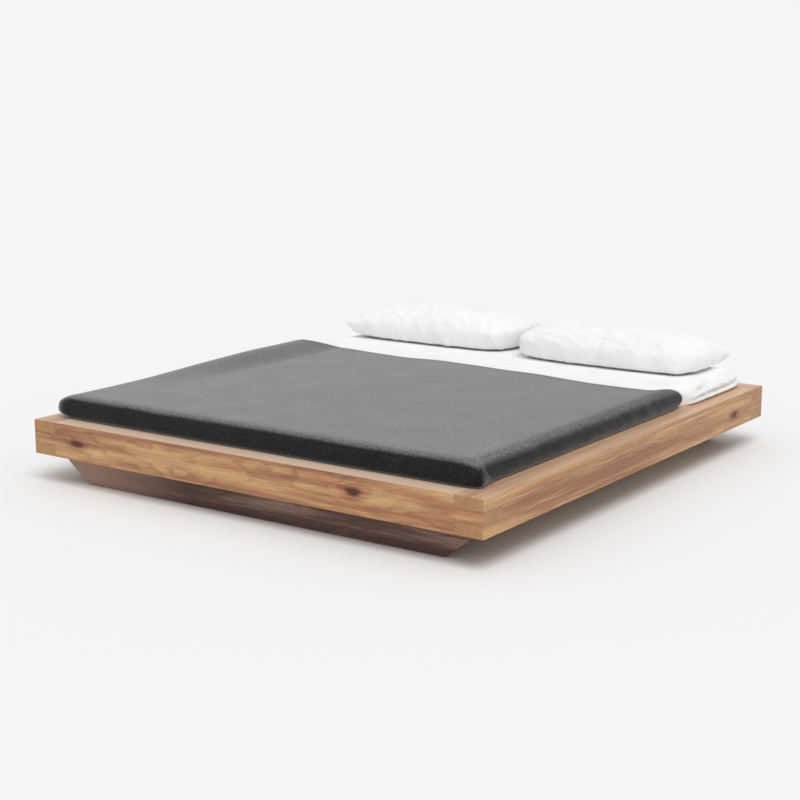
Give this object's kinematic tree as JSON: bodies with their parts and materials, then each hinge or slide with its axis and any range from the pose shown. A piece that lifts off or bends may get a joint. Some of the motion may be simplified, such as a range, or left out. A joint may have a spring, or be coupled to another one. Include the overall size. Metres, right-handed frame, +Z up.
{
  "type": "low platform bed",
  "caption": "Low platform bed for two: thick knotty oak beams with finger-jointed corners on a set-back plinth, slatted bases, mattress, sheet, grey blanket and pillows.",
  "frame": {"origin": "on the floor under the middle of the frame", "axes": "+Y towards the head of the bed, +X to the right seen from the foot, +Z up"},
  "size_m": [2.02, 2.22, 0.4969],
  "materials": {
    "oak": "oiled knotty oak, satin",
    "dark_oak": "stained oak, matt",
    "pine": "planed pine, bare",
    "zinc_steel": "zinc plated",
    "felt": "pressed felt",
    "webbing": "woven tape",
    "mattress_ticking": "quilted ticking over foam",
    "white_cotton": "washed cotton",
    "pillow_ticking": "cotton ticking with loose filling",
    "grey_wool": "melange wool felt, brushed"
  },
  "bodies": {
    "frame": {"foot_beam": "oak", "head_beam": "oak", "side_beam_left": "oak", "side_beam_right": "oak", "foot_skid": "dark_oak", "head_skid": "dark_oak", "plinth_rail_left": "dark_oak", "plinth_rail_right": "dark_oak", "plinth_crossrail": "dark_oak", "crossrail_screws": "zinc_steel", "plinth_blocks": "pine", "plinth_block_screws": "zinc_steel", "plinth_plates": "zinc_steel", "plate_screws": "zinc_steel", "bracket_screws": "zinc_steel", "corner_bracket_foot_left": "zinc_steel", "corner_bracket_foot_right": "zinc_steel", "corner_bracket_head_left": "zinc_steel", "corner_bracket_head_right": "zinc_steel", "ledger_screws": "zinc_steel", "ledger_left": "pine", "ledger_right": "pine", "centre_beam": "pine", "hanger_screws": "zinc_steel", "beam_hanger_foot": "zinc_steel", "beam_hanger_head": "zinc_steel", "felt_glides": "felt"},
    "slatted_bases": {"slats_left": "pine", "slats_right": "pine", "webbing_left": "webbing", "webbing_right": "webbing"},
    "mattress_set": {"mattress": "mattress_ticking", "fitted_sheet": "white_cotton", "blanket": "grey_wool"},
    "pillow_set_left": {"pillow_left": "pillow_ticking", "pillowcase_left": "white_cotton"},
    "pillow_set_right": {"pillow_right": "pillow_ticking", "pillowcase_right": "white_cotton"}
  },
  "joints": [
    {"name": "slats_lift", "type": "slide", "parent": "frame", "child": "slatted_bases", "axis": [0, 0, 1], "range_m": [0, 0.15]},
    {"name": "mattress_lift", "type": "slide", "parent": "slatted_bases", "child": "mattress_set", "axis": [0, 0, 1], "range_m": [0, 0.2]},
    {"name": "pillow_left_lift", "type": "slide", "parent": "mattress_set", "child": "pillow_set_left", "axis": [0, 0, 1], "range_m": [0, 0.25]},
    {"name": "pillow_right_lift", "type": "slide", "parent": "mattress_set", "child": "pillow_set_right", "axis": [0, 0, 1], "range_m": [0, 0.25]}
  ]
}
